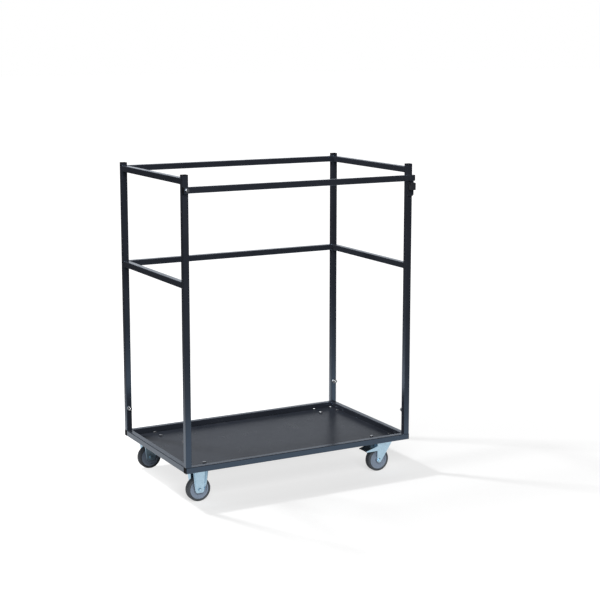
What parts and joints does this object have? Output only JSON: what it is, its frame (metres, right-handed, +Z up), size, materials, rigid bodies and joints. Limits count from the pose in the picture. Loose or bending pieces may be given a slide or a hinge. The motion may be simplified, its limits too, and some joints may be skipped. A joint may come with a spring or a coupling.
{
  "type": "transport trolley",
  "caption": "Tall wheeled tube-frame trolley with a low tray floor, side and rear rails and a swing-up front bar with a plunger latch, for carrying folded round tables on edge.",
  "frame": {"origin": "on the floor under the middle of the overall box", "axes": "+Z up, +Y towards the closed rear, the open front with its bar towards -Y, +X towards the swivelling casters and the latch"},
  "size_m": [1.056, 0.6786, 1.33],
  "materials": {
    "frame_coat": "anthracite powder coat, semi-gloss",
    "tray_coat": "dark grey coated sheet steel, semi-gloss",
    "black_plastic": "black moulded plastic",
    "knob_plastic": "black moulded plastic, fine grain",
    "spacer_nylon": "black nylon",
    "black_steel": "black coated steel",
    "bright_steel": "bright nickel-plated steel",
    "zinc_steel": "blue-passivated zinc-plated pressed steel",
    "rim_plastic": "blue-grey moulded plastic",
    "tyre_rubber": "dark grey solid rubber"
  },
  "bodies": {
    "frame": {"base_front_rail": "frame_coat", "base_rear_rail": "frame_coat", "base_left_rail": "frame_coat", "base_right_rail": "frame_coat", "front_left_upright": "frame_coat", "front_right_upright": "frame_coat", "rear_left_upright": "frame_coat", "rear_right_upright": "frame_coat", "left_top_rail": "frame_coat", "right_top_rail": "frame_coat", "rear_top_rail": "frame_coat", "left_mid_rail": "frame_coat", "right_mid_rail": "frame_coat", "rear_mid_rail": "frame_coat", "upright_screws": "frame_coat", "tray_floor": "tray_coat", "base_rail_plugs": "black_plastic", "upright_caps": "black_plastic", "bar_pivot_spacer": "spacer_nylon", "upright_cap_nuts": "bright_steel", "bar_pivot_bolt": "bright_steel", "caster_bolts": "bright_steel", "washers": "bright_steel", "race_balls": "bright_steel", "upright_spigots": "zinc_steel", "caster_nuts": "zinc_steel", "lock_nuts": "zinc_steel", "front_left_fork": "zinc_steel", "rear_left_fork": "zinc_steel", "front_right_plate": "zinc_steel", "rear_right_plate": "zinc_steel", "fixed_axle_bolts": "zinc_steel", "fixed_axle_sleeves": "zinc_steel", "king_pins": "zinc_steel"},
    "closing_bar": {"closing_bar": "frame_coat", "closing_bar_plugs": "black_plastic", "latch_plate": "frame_coat", "plunger_sleeve": "black_steel", "latch_spring": "bright_steel"},
    "latch_plunger": {"latch_pin": "bright_steel", "latch_knob": "knob_plastic"},
    "front_right_swivel": {"front_right_fork": "zinc_steel", "front_right_axle_bolt": "zinc_steel", "front_right_axle_nut": "zinc_steel", "front_right_axle_sleeve": "zinc_steel"},
    "front_right_brake": {"front_right_brake_pedal": "zinc_steel"},
    "rear_right_swivel": {"rear_right_fork": "zinc_steel", "rear_right_axle_bolt": "zinc_steel", "rear_right_axle_nut": "zinc_steel", "rear_right_axle_sleeve": "zinc_steel"},
    "rear_right_brake": {"rear_right_brake_pedal": "zinc_steel"},
    "front_left_wheel": {"front_left_rim": "rim_plastic", "front_left_tyre": "tyre_rubber"},
    "rear_left_wheel": {"rear_left_rim": "rim_plastic", "rear_left_tyre": "tyre_rubber"},
    "front_right_wheel": {"front_right_rim": "rim_plastic", "front_right_tyre": "tyre_rubber"},
    "rear_right_wheel": {"rear_right_rim": "rim_plastic", "rear_right_tyre": "tyre_rubber"}
  },
  "joints": [
    {"name": "closing_bar_swing", "type": "hinge", "parent": "frame", "child": "closing_bar", "pos_m": [-0.5125, -0.31065, 1.2715], "axis": [0, -1, 0], "range_deg": [0, 100]},
    {"name": "latch_slide", "type": "slide", "parent": "closing_bar", "child": "latch_plunger", "axis": [0, 1, 0], "range_m": [0, 0.006]},
    {"name": "front_left_wheel_spin", "type": "hinge", "parent": "frame", "child": "front_left_wheel", "pos_m": [-0.443, -0.23965, 0.05], "axis": [0, 1, 0], "continuous": true},
    {"name": "rear_left_wheel_spin", "type": "hinge", "parent": "frame", "child": "rear_left_wheel", "pos_m": [-0.443, 0.26835, 0.05], "axis": [0, 1, 0], "continuous": true},
    {"name": "front_right_swivel_turn", "type": "hinge", "parent": "frame", "child": "front_right_swivel", "pos_m": [0.443, -0.23965, 0.13], "axis": [0, 0, 1], "continuous": true},
    {"name": "front_right_wheel_spin", "type": "hinge", "parent": "front_right_swivel", "child": "front_right_wheel", "pos_m": [0.407, -0.23965, 0.05], "axis": [0, 1, 0], "continuous": true},
    {"name": "front_right_brake_press", "type": "hinge", "parent": "front_right_swivel", "child": "front_right_brake", "pos_m": [0.409, -0.23965, 0.108], "axis": [0, -1, 0], "range_deg": [0, 8]},
    {"name": "rear_right_swivel_turn", "type": "hinge", "parent": "frame", "child": "rear_right_swivel", "pos_m": [0.443, 0.26835, 0.13], "axis": [0, 0, 1], "continuous": true},
    {"name": "rear_right_wheel_spin", "type": "hinge", "parent": "rear_right_swivel", "child": "rear_right_wheel", "pos_m": [0.407, 0.26835, 0.05], "axis": [0, 1, 0], "continuous": true},
    {"name": "rear_right_brake_press", "type": "hinge", "parent": "rear_right_swivel", "child": "rear_right_brake", "pos_m": [0.409, 0.26835, 0.108], "axis": [0, -1, 0], "range_deg": [0, 8]}
  ]
}
